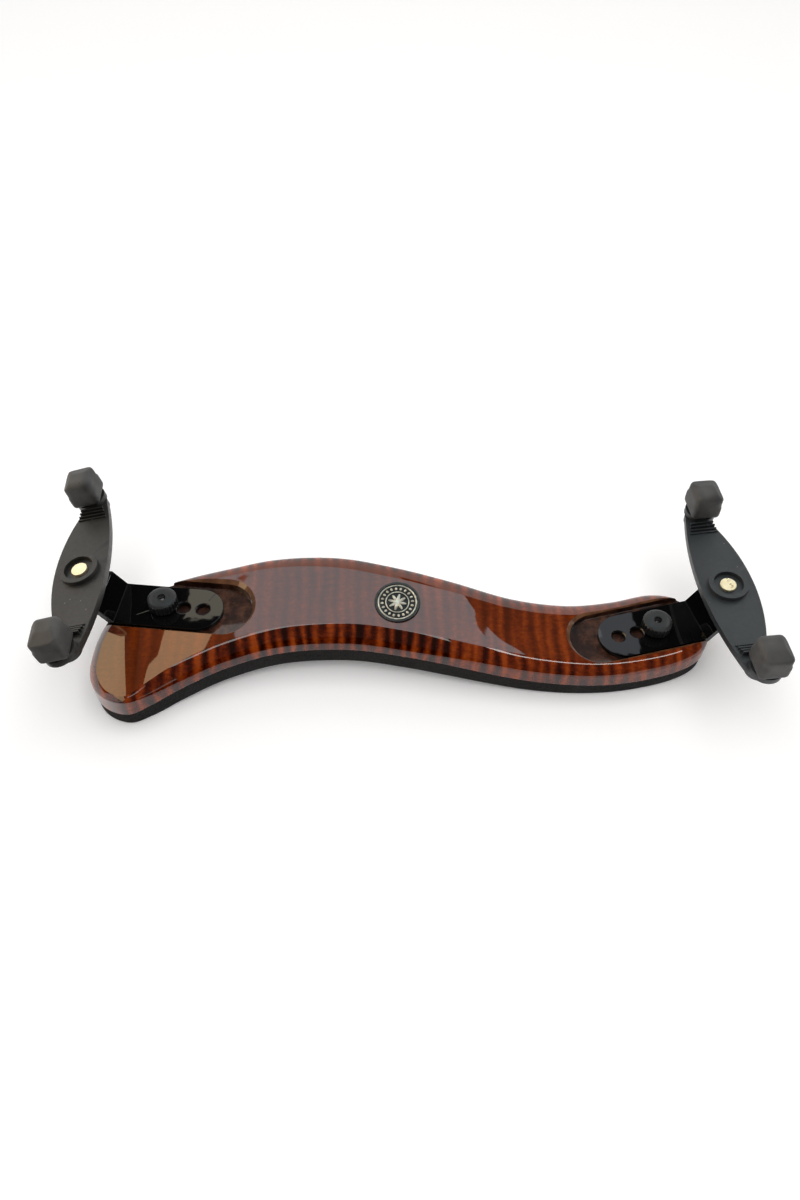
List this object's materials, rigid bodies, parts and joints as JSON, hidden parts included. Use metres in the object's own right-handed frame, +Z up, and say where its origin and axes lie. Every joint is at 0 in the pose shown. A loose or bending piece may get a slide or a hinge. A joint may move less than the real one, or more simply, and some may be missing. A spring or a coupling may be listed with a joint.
{
  "type": "violin shoulder rest",
  "caption": "Arched S-curved maple bar with a foam underside, turning height-adjustable forks with rubber sleeves at both ends, and brackets held by thumb screws.",
  "frame": {"origin": "centre of the footprint, on the surface that the foam side rests on", "axes": "+X along the bar from the wide end to the narrow end, +Y toward the violin's neck, +Z up to the violin's back"},
  "size_m": [0.228, 0.0902, 0.0458],
  "materials": {
    "maple": "flamed maple under high-gloss red-brown lacquer",
    "foam": "fine-cell black foam, matt",
    "medallion": "ivory-silver relief on dark enamel",
    "medallion_rim": "dark, glossy",
    "brass": "turned, satin",
    "black_steel": "black gloss enamel on sheet steel",
    "steel": "zinc plated",
    "knob_plastic": "satin, finely serrated rim",
    "fork_plastic": "satin, fine moulded grain",
    "rubber": "soft, slightly dusty"
  },
  "bodies": {
    "bar": {"wood_bar": "maple", "foam_pad": "foam", "medallion_disc": "medallion", "medallion_rim": "medallion_rim", "insert_left": "brass", "insert_right": "brass"},
    "bracket_left": {"bracket_left": "black_steel", "bush_left": "brass"},
    "clamp_washer_left": {"washer_left": "steel"},
    "thumb_screw_left": {"knob_left": "knob_plastic", "screw_left": "steel"},
    "height_post_left": {"post_left": "brass"},
    "fork_left": {"fork_left": "fork_plastic", "sleeve_left_front": "rubber", "sleeve_left_rear": "rubber"},
    "bracket_right": {"bracket_right": "black_steel", "bush_right": "brass"},
    "clamp_washer_right": {"washer_right": "steel"},
    "thumb_screw_right": {"knob_right": "knob_plastic", "screw_right": "steel"},
    "height_post_right": {"post_right": "brass"},
    "fork_right": {"fork_right": "fork_plastic", "sleeve_right_front": "rubber", "sleeve_right_rear": "rubber"}
  },
  "joints": [
    {"name": "bracket_left_swivel", "type": "hinge", "parent": "bar", "child": "bracket_left", "pos_m": [-0.08051, 0.00177, 0.01812], "axis": [-0.0344, 0.0061, 0.9994], "range_deg": [-1.2, 1.2]},
    {"name": "screw_left_rise", "type": "slide", "parent": "bar", "child": "clamp_washer_left", "axis": [-0.0344, 0.0061, 0.9994], "range_m": [0, 0.0035]},
    {"name": "screw_left_turn", "type": "hinge", "parent": "clamp_washer_left", "child": "thumb_screw_left", "pos_m": [-0.08051, 0.00177, 0.01812], "axis": [-0.0344, 0.0061, 0.9994], "range_deg": [0, 1800]},
    {"name": "fork_left_height", "type": "slide", "parent": "bracket_left", "child": "height_post_left", "axis": [-0.2048, 0.0361, 0.9781], "range_m": [-0.002, 0.003]},
    {"name": "fork_left_turn", "type": "hinge", "parent": "height_post_left", "child": "fork_left", "pos_m": [-0.10333, 0.00579, 0.02259], "axis": [-0.2048, 0.0361, 0.9781], "range_deg": [-720, 1080]},
    {"name": "bracket_right_swivel", "type": "hinge", "parent": "bar", "child": "bracket_right", "pos_m": [0.08285, -0.01104, 0.0133], "axis": [0, 0, 1], "range_deg": [-1.2, 1.2]},
    {"name": "screw_right_rise", "type": "slide", "parent": "bar", "child": "clamp_washer_right", "axis": [0, 0, 1], "range_m": [0, 0.0035]},
    {"name": "screw_right_turn", "type": "hinge", "parent": "clamp_washer_right", "child": "thumb_screw_right", "pos_m": [0.08285, -0.01104, 0.0133], "axis": [0, 0, 1], "range_deg": [0, 1800]},
    {"name": "fork_right_height", "type": "slide", "parent": "bracket_right", "child": "height_post_right", "axis": [-0.0461, -0.0098, 0.9989], "range_m": [-0.002, 0.003]},
    {"name": "fork_right_turn", "type": "hinge", "parent": "height_post_right", "child": "fork_right", "pos_m": [0.105, -0.00634, 0.01891], "axis": [-0.0461, -0.0098, 0.9989], "range_deg": [-720, 1080]}
  ],
  "couplings": [
    {"joint": "screw_left_turn", "follows": "screw_left_rise", "rad_per_m": 8976},
    {"joint": "fork_left_turn", "follows": "fork_left_height", "rad_per_m": 6283.2},
    {"joint": "screw_right_turn", "follows": "screw_right_rise", "rad_per_m": 8976},
    {"joint": "fork_right_turn", "follows": "fork_right_height", "rad_per_m": 6283.2}
  ]
}
